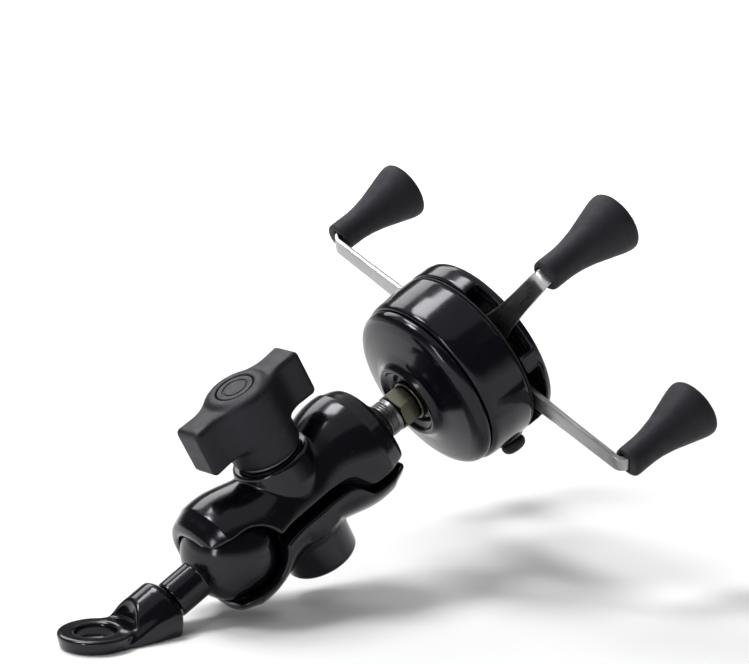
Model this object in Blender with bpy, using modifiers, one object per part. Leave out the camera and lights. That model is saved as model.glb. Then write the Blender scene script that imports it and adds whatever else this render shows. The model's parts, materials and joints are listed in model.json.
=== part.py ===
"""Phone handlebar mount: mirror-bolt eyelet, two ball joints, clamp arm and a spring X-grip.

Units are metres. +Z is the axis of the mirror bolt, +X points from the bolt hole towards the
phone, and the whole mount lies along the plane Y = 0. The origin is the centre of the bolt
hole on the underside of the eyelet.
"""
import math

import bmesh
import bpy
from mathutils import Matrix, Vector

MM = 0.001

# ---- driving dimensions -------------------------------------------------------------------
EYE_THICK = 3.8 * MM
EYE_TOP_R = 9.7 * MM
EYE_BOTTOM_R = 8.8 * MM
BOLT_HOLE_R = 5.25 * MM
SPOT_FACE_R = 10.0 * MM
BLOCK_END_X = 20.8 * MM
BOSS_R = 7.8 * MM

BALL_R = 12.7 * MM
NECK_R = 5.1 * MM
SOCKET_R = 13.0 * MM
DOME_R = 15.6 * MM
SPINE_R = 12.9 * MM
ARM_ANGLE = math.radians(30.2)
ARM_LENGTH = 41.2 * MM
BALL1 = Vector((39.0 * MM, 0.0, 17.2 * MM))
MOUTH = 8.2 * MM
WINDOW_R = 9.2 * MM
PARTING = 1.6 * MM
TONGUE = 4.6 * MM
BOLT_X = 1.0 * MM
BOLT_TILT = math.radians(2.0)
BOLT_R = 3.0 * MM

KNOB_TOP = 34.7 * MM
KNOB_HUB_TOP = 35.6 * MM
KNOB_BASE = 15.4 * MM
KNOB_YAW = math.radians(4.5)
KNOB_HALF_LENGTH = 18.2 * MM

HOLDER_ANGLE = math.radians(27.5)
STUD_LENGTH = 19.0 * MM
HOLDER_SPIN = math.radians(-3.5)
BODY_R = 24.8 * MM
FLOOR_BACK = 17.0 * MM
FLOOR_FRONT = 19.3 * MM
SCREW_RADIUS = 18.2 * MM
SCREW_ANGLES = [math.radians(a) for a in (-15, 15, 165, 195)]
PORT_ANGLE = math.radians(-19.5)
PORT_LEVEL = 20.6 * MM

GRIP_REACH = 55.0 * MM
GRIP_ANGLE = math.radians(31.1)
BAR_THICK = 1.4 * MM
BAR_EYE_R = 9.0 * MM
BAR_HALF_WIDTH = 2.8 * MM
BAR_BEND_R = 2.6 * MM
TONGUE_HALF_WIDTH = 2.4 * MM
TONGUE_TOP = 17.0 * MM
BAR_A_LEVEL = 26.5 * MM
BAR_B_LEVEL = 28.2 * MM
POST_RISE = 1.4 * MM
PIN_BORE_R = 3.06 * MM

FINE = 32
COARSE = 24
MERGE = 0.00001
OVERSHOOT = 1.0 * MM
GAP = 0.3 * MM

# ---- colours: base colour, roughness, metallic --------------------------------------------
GLOSS_BLACK = ((0.012, 0.012, 0.014, 1.0), 0.22, 0.0)
SATIN_BLACK = ((0.020, 0.020, 0.023, 1.0), 0.48, 0.0)
RUBBER = ((0.018, 0.018, 0.020, 1.0), 0.75, 0.0)
STEEL = ((0.62, 0.61, 0.59, 1.0), 0.30, 1.0)
NUT_METAL = ((0.33, 0.33, 0.27, 1.0), 0.38, 1.0)
SPRING_STEEL = ((0.45, 0.45, 0.46, 1.0), 0.35, 1.0)
BRASS = ((0.72, 0.53, 0.22, 1.0), 0.32, 1.0)


def clear_scene():
    for old in list(bpy.data.objects):
        bpy.data.objects.remove(old, do_unlink=True)


def new_collection(name):
    collection = bpy.data.collections.new(name)
    bpy.context.scene.collection.children.link(collection)
    return collection


clear_scene()
PARTS = new_collection("phone_handlebar_mount")
CUTTERS = new_collection("cutters")


# ---- modelling helpers --------------------------------------------------------------------
def frame(name, location, rotation=(0.0, 0.0, 0.0), parent=None):
    """An empty that carries a group of pieces, with its axes along the group's own axes."""
    empty = bpy.data.objects.new(name, None)
    PARTS.objects.link(empty)
    empty.location = location
    empty.rotation_euler = rotation
    empty.parent = parent
    bpy.context.view_layer.update()
    return empty


def place(obj, parent, location=(0.0, 0.0, 0.0), rotation=(0.0, 0.0, 0.0)):
    obj.parent = parent
    obj.location = location
    obj.rotation_euler = rotation
    return obj


def mesh_object(name, bm):
    mesh = bpy.data.meshes.new(name)
    bm.to_mesh(mesh)
    bm.free()
    obj = bpy.data.objects.new(name, mesh)
    PARTS.objects.link(obj)
    return obj


def paint(obj, finish):
    colour, roughness, metallic = finish
    material = bpy.data.materials.new(obj.name + "_material")
    material.use_nodes = True
    shader = material.node_tree.nodes["Principled BSDF"]
    shader.inputs["Base Color"].default_value = colour
    shader.inputs["Roughness"].default_value = roughness
    shader.inputs["Metallic"].default_value = metallic
    material.diffuse_color = colour
    obj.data.materials.append(material)
    return obj


def soften(obj, angle=math.radians(30)):
    """Smooth shading with the sharp edges kept."""
    bpy.context.view_layer.update()
    obj.data.shade_smooth()
    obj.data.set_sharp_from_angle(angle=angle)
    return obj


def turned(name, profile, steps=FINE, closed=False):
    """A solid of revolution about local Z; the profile holds (radius, height) pairs."""
    bm = bmesh.new()
    verts = [bm.verts.new((radius, 0.0, height)) for radius, height in profile]
    for first, second in zip(verts, verts[1:]):
        bm.edges.new((first, second))
    if closed:
        bm.edges.new((verts[-1], verts[0]))
    obj = mesh_object(name, bm)
    screw = obj.modifiers.new("turn", "SCREW")
    screw.steps = steps
    screw.render_steps = steps
    screw.use_merge_vertices = True
    screw.merge_threshold = MERGE
    screw.use_smooth_shade = True
    return obj


def arc(centre, radius, start, end, count):
    """Points of an arc in (radius, height) space; angles in degrees from the +radius axis."""
    points = []
    for step in range(count + 1):
        angle = math.radians(start + (end - start) * step / count)
        points.append((centre[0] + radius * math.cos(angle), centre[1] + radius * math.sin(angle)))
    return points


def cylinder(name, radius, depth, sides=FINE):
    bm = bmesh.new()
    bmesh.ops.create_cone(bm, cap_ends=True, segments=sides, radius1=radius, radius2=radius,
                          depth=depth)
    return mesh_object(name, bm)


def box(name, size):
    bm = bmesh.new()
    bmesh.ops.create_cube(bm, size=1.0)
    bmesh.ops.scale(bm, vec=size, verts=bm.verts)
    return mesh_object(name, bm)


def sphere(name, radius, segments=32, rings=16):
    bm = bmesh.new()
    bmesh.ops.create_uvsphere(bm, u_segments=segments, v_segments=rings, radius=radius)
    return mesh_object(name, bm)


def to_mesh(obj):
    """Replace an object by a plain mesh of its evaluated shape, with its caps welded."""
    bpy.context.view_layer.update()
    evaluated = obj.evaluated_get(bpy.context.evaluated_depsgraph_get())
    mesh = bpy.data.meshes.new_from_object(evaluated)
    bm = bmesh.new()
    bm.from_mesh(mesh)
    bmesh.ops.remove_doubles(bm, verts=bm.verts, dist=MERGE)
    bm.to_mesh(mesh)
    bm.free()
    name = obj.name
    matrix = obj.matrix_world.copy()
    bpy.data.objects.remove(obj, do_unlink=True)
    plain = bpy.data.objects.new(name, mesh)
    PARTS.objects.link(plain)
    plain.matrix_world = matrix
    return plain


def prism(name, outline, depth):
    """A flat outline in local XY, given depth along local Z and centred on it."""
    curve = bpy.data.curves.new(name, "CURVE")
    curve.dimensions = "2D"
    curve.fill_mode = "BOTH"
    curve.extrude = depth / 2
    spline = curve.splines.new("POLY")
    spline.points.add(len(outline) - 1)
    for point, (x, y) in zip(spline.points, outline):
        point.co = (x, y, 0.0, 1.0)
    spline.use_cyclic_u = True
    obj = bpy.data.objects.new(name, curve)
    PARTS.objects.link(obj)
    return to_mesh(obj)


def bevel(obj, width, segments=3, angle=math.radians(40)):
    modifier = obj.modifiers.new("bevel", "BEVEL")
    modifier.width = width
    modifier.segments = segments
    modifier.limit_method = "ANGLE"
    modifier.angle_limit = angle
    return obj


def combine(obj, tool, operation="DIFFERENCE"):
    """Boolean with a tool object, which moves to the cutters' collection."""
    for collection in list(tool.users_collection):
        collection.objects.unlink(tool)
    CUTTERS.objects.link(tool)
    tool.hide_render = True
    tool.display_type = "WIRE"
    modifier = obj.modifiers.new(operation.lower(), "BOOLEAN")
    modifier.operation = operation
    modifier.solver = "EXACT"
    modifier.object = tool
    return obj


def wire(name, points, radius, resolution=2):
    """A round wire along straight spans, with filled ends."""
    curve = bpy.data.curves.new(name, "CURVE")
    curve.dimensions = "3D"
    curve.bevel_depth = radius
    curve.bevel_resolution = resolution
    curve.use_fill_caps = True
    spline = curve.splines.new("POLY")
    spline.points.add(len(points) - 1)
    for point, place_at in zip(spline.points, points):
        point.co = (*place_at, 1.0)
    obj = bpy.data.objects.new(name, curve)
    PARTS.objects.link(obj)
    return to_mesh(obj)


def hex_nut(name, across_flats, height, bore):
    """A chamfered hexagon nut standing on local Z = 0."""
    corner = across_flats / math.sqrt(3)
    nut = cylinder(name, corner, height, sides=6)
    nut.data.transform(Matrix.Translation((0.0, 0.0, height / 2)))
    chamfer = 0.5 * MM
    outside = corner + 0.1 * MM
    crown = turned(name + "_crown", [
        (0.0, height + MERGE), (across_flats / 2, height + MERGE), (outside, height - chamfer),
        (outside, chamfer), (across_flats / 2, -MERGE), (0.0, -MERGE)], steps=COARSE)
    combine(nut, crown, "INTERSECT")
    hole = cylinder(name + "_bore", bore, height * 3, sides=COARSE)
    combine(nut, hole)
    return nut


# ---- frames on the joint axes -------------------------------------------------------------
tilt_to_arm = (0.0, -ARM_ANGLE, 0.0)
arm_direction = Vector((math.cos(ARM_ANGLE), 0.0, math.sin(ARM_ANGLE)))
BALL2 = BALL1 + ARM_LENGTH * arm_direction
ARM_CENTRE = BALL1 + ARM_LENGTH / 2 * arm_direction
holder_direction = Vector((math.cos(HOLDER_ANGLE), 0.0, math.sin(HOLDER_ANGLE)))
NUT_CENTRE = BALL2 + STUD_LENGTH * holder_direction

neck_frame = frame("neck_frame", BALL1, (0.0, math.pi / 2 - ARM_ANGLE, 0.0))
arm_frame = frame("arm_frame", ARM_CENTRE, tilt_to_arm)
bolt_frame = frame("bolt_frame", (BOLT_X, 0.0, 0.0), (0.0, BOLT_TILT, 0.0), parent=arm_frame)
stud_frame = frame("stud_frame", BALL2, (0.0, math.pi / 2 - HOLDER_ANGLE, 0.0))
holder_frame = frame("holder_frame", (0.0, 0.0, STUD_LENGTH), (0.0, 0.0, HOLDER_SPIN),
                     parent=stud_frame)


# ---- eyelet base --------------------------------------------------------------------------
def build_base():
    eye = turned("base_eyelet", [
        (0.0, EYE_THICK), (EYE_TOP_R - 0.8 * MM, EYE_THICK),
        (EYE_TOP_R - 0.2 * MM, EYE_THICK - 0.3 * MM), (EYE_TOP_R, EYE_THICK - 0.9 * MM),
        (EYE_BOTTOM_R, -OVERSHOOT), (0.0, -OVERSHOOT)])
    block_height = 6.6 * MM
    half_near = 8.4 * MM
    half_end = 7.2 * MM
    taper_from = 6.0 * MM
    block = prism("base_block", [
        (0.0, -half_near), (taper_from, -half_near), (BLOCK_END_X, -half_end),
        (BLOCK_END_X, half_end), (taper_from, half_near), (0.0, half_near)], block_height)
    block.location.z = block_height / 2 - OVERSHOOT
    combine(eye, block, "UNION")
    boss_front = -20.6 * MM
    boss_back = -36.0 * MM
    boss = turned("base_boss", [
        (0.0, boss_front), (NECK_R + 0.4 * MM, boss_front),
        (BOSS_R - 0.3 * MM, boss_front - 1.6 * MM), (BOSS_R, boss_front - 2.4 * MM),
        (BOSS_R, boss_back), (0.0, boss_back)])
    place(boss, neck_frame)
    combine(eye, boss, "UNION")
    below = box("base_floor_cut", (80 * MM, 40 * MM, 30 * MM))
    below.location = (10 * MM, 0.0, -15 * MM)
    combine(eye, below)
    beyond = box("base_end_cut", (20 * MM, 40 * MM, 8.4 * MM))
    beyond.location = (BLOCK_END_X + 9.95 * MM, 0.0, 2.2 * MM)
    combine(eye, beyond)
    spot_height = 30 * MM
    spot = cylinder("base_spot_face", SPOT_FACE_R, spot_height)
    spot.location.z = EYE_THICK + spot_height / 2
    combine(eye, spot)
    chamfer = 0.6 * MM
    hole = turned("base_hole", [
        (0.0, EYE_THICK + OVERSHOOT), (BOLT_HOLE_R + chamfer + OVERSHOOT, EYE_THICK + OVERSHOOT),
        (BOLT_HOLE_R, EYE_THICK - chamfer), (BOLT_HOLE_R, chamfer),
        (BOLT_HOLE_R + chamfer + OVERSHOOT, -OVERSHOOT), (0.0, -OVERSHOOT)])
    combine(eye, hole)
    shank_bore = cylinder("base_shank_bore", 3.56 * MM, 10 * MM, sides=48)
    place(shank_bore, neck_frame, (0.0, 0.0, -20.8 * MM))
    combine(eye, shank_bore)
    return soften(paint(eye, GLOSS_BLACK))


def build_lower_ball_stud():
    neck_start = -math.sqrt(BALL_R ** 2 - NECK_R ** 2)
    ball_end_angle = math.degrees(math.atan2(neck_start, NECK_R))
    shank_r = 3.5 * MM
    neck_end = -20.3 * MM
    shank_end = -25.5 * MM
    profile = arc((0.0, 0.0), BALL_R, 90.0, ball_end_angle, 14)
    profile[0] = (0.0, BALL_R)
    profile += [(NECK_R, neck_end + 0.3 * MM), (NECK_R - 0.3 * MM, neck_end), (shank_r, neck_end),
                (shank_r, shank_end + 0.4 * MM), (shank_r - 0.4 * MM, shank_end), (0.0, shank_end)]
    stud = turned("lower_ball_stud", profile)
    place(stud, neck_frame)
    return paint(stud, GLOSS_BLACK)


# ---- clamp arm ----------------------------------------------------------------------------
def parting_outline(level, far):
    """Outline in arm X and Z between the parting line, shifted to the level, and a far edge."""
    half = ARM_LENGTH / 2
    reach = half + DOME_R + 2 * MM
    low = level - PARTING - TONGUE
    right = [(half - 9.0 * MM, level), (half - 7.4 * MM, level - 0.8 * MM),
             (half - 4.6 * MM, low + 0.8 * MM), (half - 3.0 * MM, low), (reach, low)]
    left = [(-x, z) for x, z in reversed(right)]
    return left + right + [(reach, far), (-reach, far)]


def shell_blank(name, sign):
    """One half of the clamp before its sockets are cut; sign is +1 for the knob side."""
    blank = sphere(name, DOME_R)
    blank.data.transform(Matrix.Translation((-ARM_LENGTH / 2, 0.0, 0.0)))
    place(blank, arm_frame)
    dome = sphere(name + "_dome", DOME_R)
    place(dome, arm_frame, (ARM_LENGTH / 2, 0.0, 0.0))
    combine(blank, dome, "UNION")
    spine = cylinder(name + "_spine", SPINE_R, ARM_LENGTH, sides=64)
    place(spine, arm_frame, rotation=(0.0, math.pi / 2, 0.0))
    combine(blank, spine, "UNION")
    if sign > 0:
        waist = turned(name + "_waist", [
            (0.0, 14.2 * MM), (9.9 * MM, 14.2 * MM), (10.5 * MM, 13.7 * MM), (11.7 * MM, 8.0 * MM),
            (12.0 * MM, 3.5 * MM), (12.0 * MM, -6 * MM), (0.0, -6 * MM)])
    else:
        waist = turned(name + "_waist", [
            (0.0, 6 * MM), (12.6 * MM, 6 * MM), (12.6 * MM, -5.0 * MM), (11.8 * MM, -7.8 * MM),
            (10.4 * MM, -9.4 * MM), (9.9 * MM, -11.0 * MM), (9.7 * MM, -19.2 * MM),
            (9.1 * MM, -20 * MM), (0.0, -20 * MM)])
    place(waist, bolt_frame)
    combine(blank, waist, "UNION")
    if sign > 0:
        outline = parting_outline(PARTING, -40 * MM)
    else:
        outline = parting_outline(-PARTING, 40 * MM)
    half_cut = prism(name + "_parting_cut", outline, 60 * MM)
    place(half_cut, arm_frame, rotation=(math.pi / 2, 0.0, 0.0))
    combine(blank, half_cut)
    for end in (-1, 1):
        socket = sphere(f"{name}_socket_{end}", SOCKET_R)
        place(socket, arm_frame, (end * ARM_LENGTH / 2, 0.0, 0.0))
        combine(blank, socket)
        mouth = box(f"{name}_mouth_{end}", (20 * MM, 50 * MM, 50 * MM))
        place(mouth, arm_frame, (end * (ARM_LENGTH / 2 + MOUTH + 10 * MM), 0.0, 0.0))
        combine(blank, mouth)
        window = window_cutter(f"{name}_window_{end}", end)
        combine(blank, window)
    return blank


def window_cutter(name, end):
    """A slot through one side wall of a socket, round at the ball and open at the mouth."""
    depth = 13 * MM
    outline = [(end * x, z) for x, z in arc((0.0, 0.0), WINDOW_R, 90.0, 270.0, 14)]
    outline += [(end * 16 * MM, -WINDOW_R), (end * 16 * MM, WINDOW_R)]
    slot = prism(name, outline, depth)
    side = end * (4 * MM + depth / 2)
    place(slot, arm_frame, (end * ARM_LENGTH / 2, side, 0.0), (math.pi / 2, 0.0, 0.0))
    return slot


def build_arm():
    pocket_r = 4.9 * MM
    pocket_depth = 6.2 * MM
    bore_r = 3.2 * MM

    upper = shell_blank("arm_upper_shell", 1)
    bore = turned("upper_bore", [
        (0.0, 16 * MM), (bore_r, 16 * MM), (bore_r, pocket_depth), (pocket_r, pocket_depth),
        (pocket_r, -2 * MM), (0.0, -2 * MM)], steps=COARSE)
    place(bore, bolt_frame)
    combine(upper, bore)
    soften(paint(upper, GLOSS_BLACK))

    lower = shell_blank("arm_lower_shell", -1)
    bore = turned("lower_bore", [
        (0.0, 2 * MM), (pocket_r, 2 * MM), (pocket_r, -pocket_depth), (bore_r, -pocket_depth),
        (bore_r, -15.4 * MM), (6.3 * MM, -15.4 * MM), (6.3 * MM, -22 * MM),
        (0.0, -22 * MM)], steps=COARSE)
    place(bore, bolt_frame)
    combine(lower, bore)
    soften(paint(lower, GLOSS_BLACK))


def build_clamp_screw():
    head_height = 4.0 * MM
    head_base = -19.7 * MM
    head = cylinder("clamp_bolt", 10 * MM / math.sqrt(3), head_height, sides=6)
    head.data.transform(Matrix.Translation((0.0, 0.0, head_base + head_height / 2)))
    shaft_end = 29.0 * MM
    shaft = turned("clamp_bolt_shaft", [
        (0.0, shaft_end), (BOLT_R - 0.6 * MM, shaft_end), (BOLT_R, shaft_end - 0.6 * MM),
        (BOLT_R, head_base + 1 * MM), (0.0, head_base + 1 * MM)], steps=COARSE)
    place(shaft, bolt_frame)
    place(head, bolt_frame)
    combine(head, shaft, "UNION")
    soften(paint(head, STEEL))

    turns = 5
    per_turn = 14
    coil_r = 3.95 * MM
    wire_r = 0.42 * MM
    rise = 11.2 * MM
    points = []
    for step in range(turns * per_turn + 1):
        angle = 2 * math.pi * step / per_turn
        height = -rise / 2 + rise * step / (turns * per_turn)
        points.append((coil_r * math.cos(angle), coil_r * math.sin(angle), height))
    spring = wire("shell_spring", points, wire_r, 1)
    place(spring, bolt_frame)
    soften(paint(spring, SPRING_STEEL), math.radians(60))


# ---- wing knob ----------------------------------------------------------------------------
def build_knob():
    wing_low = 21.4 * MM
    tip = KNOB_HALF_LENGTH
    quarter = [(5.4 * MM, 7.0 * MM), (8.4 * MM, 5.3 * MM), (12.5 * MM, 4.5 * MM),
               (tip - 1.3 * MM, 4.8 * MM), (tip, 3.9 * MM)]
    outline = quarter + [(x, -y) for x, y in reversed(quarter)]
    outline += [(-x, -y) for x, y in quarter] + [(-x, y) for x, y in reversed(quarter)]
    wing = prism("knob", outline, KNOB_TOP - wing_low)
    wing.data.transform(Matrix.Translation((0.0, 0.0, (KNOB_TOP + wing_low) / 2)))
    place(wing, bolt_frame, rotation=(0.0, 0.0, KNOB_YAW))
    bevel(wing, 0.8 * MM, 2, math.radians(60))
    hub = turned("knob_hub", [
        (0.0, KNOB_HUB_TOP), (6.6 * MM, KNOB_HUB_TOP), (7.6 * MM, KNOB_HUB_TOP - 0.25 * MM),
        (8.6 * MM, KNOB_TOP - 0.2 * MM), (8.9 * MM, KNOB_TOP - 1.2 * MM), (9.1 * MM, 26 * MM),
        (9.4 * MM, KNOB_BASE + 1.2 * MM), (9.1 * MM, KNOB_BASE + 0.3 * MM),
        (8.7 * MM, KNOB_BASE), (0.0, KNOB_BASE)])
    place(hub, bolt_frame)
    combine(wing, hub, "UNION")
    bore = turned("knob_bore", [
        (0.0, 29.6 * MM), (3.3 * MM, 29.6 * MM), (3.3 * MM, 27.3 * MM), (4.7 * MM, 27.3 * MM),
        (4.7 * MM, 12 * MM), (0.0, 12 * MM)], steps=COARSE)
    place(bore, bolt_frame)
    combine(wing, bore)
    cap_r = 5.0 * MM
    cap_base = KNOB_HUB_TOP - 0.8 * MM
    cap_top = KNOB_HUB_TOP - 0.1 * MM
    recess = cylinder("knob_recess", cap_r + GAP, 2 * MM, sides=48)
    place(recess, bolt_frame, (0.0, 0.0, cap_base - GAP + 1 * MM))
    combine(wing, recess)
    soften(paint(wing, SATIN_BLACK))

    cap = turned("knob_cap", [
        (0.0, cap_top), (cap_r - 0.2 * MM, cap_top), (cap_r, cap_top - 0.2 * MM), (cap_r, cap_base),
        (0.0, cap_base)])
    place(cap, bolt_frame)
    soften(paint(cap, SATIN_BLACK))

    insert = turned("knob_insert", [
        (4.2 * MM, 27.0 * MM), (4.5 * MM, 26.7 * MM), (4.5 * MM, 22.6 * MM), (4.1 * MM, 22.2 * MM),
        (4.1 * MM, 20.8 * MM), (4.5 * MM, 20.4 * MM), (4.5 * MM, 15.8 * MM),
        (PIN_BORE_R, 15.8 * MM), (PIN_BORE_R, 27.0 * MM)], steps=COARSE, closed=True)
    place(insert, bolt_frame)
    soften(paint(insert, BRASS))

    washer = turned("knob_washer", [
        (8.6 * MM, 15.2 * MM), (8.8 * MM, 15.0 * MM), (8.8 * MM, 14.6 * MM), (8.6 * MM, 14.4 * MM),
        (3.4 * MM, 14.4 * MM), (3.4 * MM, 15.2 * MM)], steps=COARSE, closed=True)
    place(washer, bolt_frame)
    soften(paint(washer, STEEL))


# ---- upper ball and stud ------------------------------------------------------------------
def build_upper_ball():
    flat = math.sqrt(BALL_R ** 2 - NECK_R ** 2)
    start = math.degrees(math.atan2(flat, NECK_R))
    bore_r = 3.08 * MM
    bore_floor = 3.4 * MM
    profile = [(0.0, bore_floor), (bore_r, bore_floor), (bore_r, flat)]
    profile += arc((0.0, 0.0), BALL_R, start, -90.0, 14)
    profile[-1] = (0.0, -BALL_R)
    ball = turned("upper_ball", profile)
    place(ball, stud_frame)
    soften(paint(ball, SATIN_BLACK))

    collar_r = 5.0 * MM
    tip = STUD_LENGTH + 13.4 * MM
    stud = turned("upper_stud", [
        (0.0, tip), (2.5 * MM, tip), (BOLT_R, tip - 0.5 * MM), (BOLT_R, 16.1 * MM),
        (collar_r - 0.4 * MM, 16.1 * MM), (collar_r, 15.7 * MM), (collar_r, 12.2 * MM),
        (collar_r - 0.3 * MM, 11.9 * MM), (BOLT_R, 11.9 * MM), (BOLT_R, 4.1 * MM),
        (2.6 * MM, 3.7 * MM), (0.0, 3.7 * MM)], steps=COARSE)
    place(stud, stud_frame)
    soften(paint(stud, STEEL))

    nut = hex_nut("stud_lock_nut", 10.0 * MM, 5.2 * MM, 3.08 * MM)
    place_group(nut, stud_frame, STUD_LENGTH - 2.6 * MM)
    soften(paint(nut, NUT_METAL))

    spacer = turned("stud_spacer", [
        (5.3 * MM, 5.3 * MM), (5.6 * MM, 5.0 * MM), (5.6 * MM, 3.2 * MM), (5.3 * MM, 2.9 * MM),
        (3.15 * MM, 2.9 * MM), (3.15 * MM, 5.3 * MM)], steps=COARSE, closed=True)
    place(spacer, stud_frame, (0.0, 0.0, STUD_LENGTH))
    soften(paint(spacer, NUT_METAL))

    inner_nut = hex_nut("stud_inner_nut", 10.0 * MM, 4.6 * MM, 3.08 * MM)
    place_group(inner_nut, stud_frame, STUD_LENGTH + 8.3 * MM)
    soften(paint(inner_nut, STEEL))


def place_group(obj, parent, height):
    """Stand an object and its own cutters at one height on the parent's Z axis."""
    place(obj, parent, (0.0, 0.0, height))
    for modifier in obj.modifiers:
        place(modifier.object, parent, (0.0, 0.0, height))


# ---- holder drum --------------------------------------------------------------------------
def on_circle(radius, angle, height=0.0):
    return (radius * math.cos(angle), radius * math.sin(angle), height)


def build_drum():
    cap = turned("rear_cap", [
        (23.4 * MM, 10.4 * MM), (23.7 * MM, 10.0 * MM), (23.7 * MM, 9.3 * MM), (23.3 * MM, 8.2 * MM),
        (22.2 * MM, 7.1 * MM), (20.4 * MM, 6.3 * MM), (17.0 * MM, 5.5 * MM), (13.6 * MM, 4.8 * MM),
        (11.8 * MM, 4.1 * MM), (10.9 * MM, 3.1 * MM), (10.5 * MM, 2.5 * MM), (9.9 * MM, 2.2 * MM),
        (9.3 * MM, 2.5 * MM), (8.6 * MM, 3.6 * MM), (7.4 * MM, 4.0 * MM), (6.6 * MM, 5.6 * MM),
        (3.2 * MM, 5.6 * MM), (3.2 * MM, 8.0 * MM), (14.0 * MM, 8.0 * MM), (20.6 * MM, 9.4 * MM),
        (21.2 * MM, 10.4 * MM)], closed=True)
    place(cap, holder_frame)
    soften(paint(cap, GLOSS_BLACK))

    wall_in = 21.9 * MM
    body = turned("drum_body", [
        (24.4 * MM, 24.1 * MM), (BODY_R, 23.7 * MM), (BODY_R, 18 * MM), (24.6 * MM, 13 * MM),
        (24.4 * MM, 11.6 * MM), (23.9 * MM, 10.7 * MM), (wall_in, 10.7 * MM),
        (wall_in, FLOOR_BACK), (PIN_BORE_R, FLOOR_BACK), (PIN_BORE_R, 20.3 * MM),
        (4.6 * MM, 20.3 * MM), (4.6 * MM, FLOOR_FRONT), (wall_in, FLOOR_FRONT),
        (wall_in, 24.1 * MM)], closed=True)
    place(body, holder_frame)
    boss_low = FLOOR_BACK + 1 * MM
    boss_high = 29.3 * MM
    for index, angle in enumerate(SCREW_ANGLES):
        boss = cylinder(f"screw_boss_{index}", 2.4 * MM, boss_high - boss_low, sides=32)
        place(boss, holder_frame, on_circle(SCREW_RADIUS, angle, (boss_low + boss_high) / 2))
        combine(body, boss, "UNION")
    for index, angle in enumerate(SCREW_ANGLES):
        bore = cylinder(f"boss_bore_{index}", 1.27 * MM, 8.4 * MM, sides=24)
        place(bore, holder_frame, on_circle(SCREW_RADIUS, angle, 26.0 * MM))
        combine(body, bore)
    port_hole = cylinder("port_hole", 2.9 * MM, 8 * MM, sides=32)
    place_radial(port_hole, PORT_ANGLE, 23 * MM, PORT_LEVEL)
    combine(body, port_hole)
    soften(paint(body, GLOSS_BLACK))

    seal = turned("seal_ring", [
        (24.1 * MM, 25.05 * MM), (24.4 * MM, 24.9 * MM), (24.4 * MM, 24.5 * MM), (24.1 * MM, 24.35 * MM),
        (22.3 * MM, 24.35 * MM), (22.3 * MM, 25.05 * MM)], closed=True)
    place(seal, holder_frame)
    soften(paint(seal, RUBBER))

    cover = turned("front_cover", [
        (24.0 * MM, 31.7 * MM), (24.5 * MM, 31.2 * MM), (24.8 * MM, 29.5 * MM), (BODY_R, 25.7 * MM),
        (24.4 * MM, 25.3 * MM), (22.0 * MM, 25.3 * MM), (22.0 * MM, 29.6 * MM), (6.0 * MM, 29.6 * MM),
        (6.0 * MM, 31.0 * MM), (21.0 * MM, 31.0 * MM), (21.3 * MM, 31.7 * MM)], closed=True)
    place(cover, holder_frame)
    for side in range(4):
        slot = slot_cutter(f"bar_slot_{side}", side)
        place(slot, holder_frame)
        combine(cover, slot)
    for index, angle in enumerate(SCREW_ANGLES):
        hole = turned(f"cover_hole_{index}", [
            (0.0, 33 * MM), (2.4 * MM, 33 * MM), (2.4 * MM, 30.2 * MM), (1.4 * MM, 30.2 * MM),
            (1.4 * MM, 28 * MM), (0.0, 28 * MM)], steps=24)
        place(hole, holder_frame, on_circle(SCREW_RADIUS, angle))
        combine(cover, hole)
    soften(paint(cover, GLOSS_BLACK))

    pad = turned("phone_pad", [
        (0.0, 32.0 * MM), (20.0 * MM, 32.0 * MM), (20.6 * MM, 31.7 * MM), (20.6 * MM, 31.2 * MM),
        (0.0, 31.2 * MM)])
    place(pad, holder_frame)
    soften(paint(pad, RUBBER))


def ring_sector(inner, outer, angles):
    """Flat outline between two radii, through the given angles."""
    out = [on_circle(outer, angle)[:2] for angle in angles]
    back = [on_circle(inner, angle)[:2] for angle in reversed(angles)]
    return out + back


def slot_cutter(name, side):
    """The sector that a grip bar sweeps through the rim, from its rear edge to the web."""
    low_angle = math.radians(5.8)
    high_angle = math.radians(59.8)
    base = math.pi / 2 if side % 2 == 0 else -math.pi / 2
    turn = -1 if side in (0, 3) else 1
    inner = 21.0 * MM
    outer = 27.0 * MM
    steps = 8
    sweep = high_angle - low_angle
    angles = [base + turn * (low_angle + sweep * k / steps) for k in range(steps + 1)]
    outline = ring_sector(inner, outer, angles)
    low = 24.8 * MM
    high = 29.6 * MM
    slot = prism(name, outline, high - low)
    slot.data.transform(Matrix.Translation((0.0, 0.0, (low + high) / 2)))
    return slot


def place_radial(obj, angle, radius, level):
    """Stand an object's Z axis along a radius of the drum."""
    place(obj, holder_frame, on_circle(radius, angle, level), (0.0, math.pi / 2, angle))


def build_port_cap():
    cap = turned("port_cap", [
        (0.0, 3.6 * MM), (1.9 * MM, 3.5 * MM), (2.9 * MM, 3.0 * MM), (3.4 * MM, 2.2 * MM),
        (3.5 * MM, 1.2 * MM), (3.2 * MM, 0.7 * MM), (2.7 * MM, 0.4 * MM), (2.7 * MM, -2.6 * MM),
        (2.4 * MM, -2.9 * MM), (0.0, -2.9 * MM)], steps=COARSE)
    place_radial(cap, PORT_ANGLE, BODY_R, PORT_LEVEL)
    soften(paint(cap, RUBBER))


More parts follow.
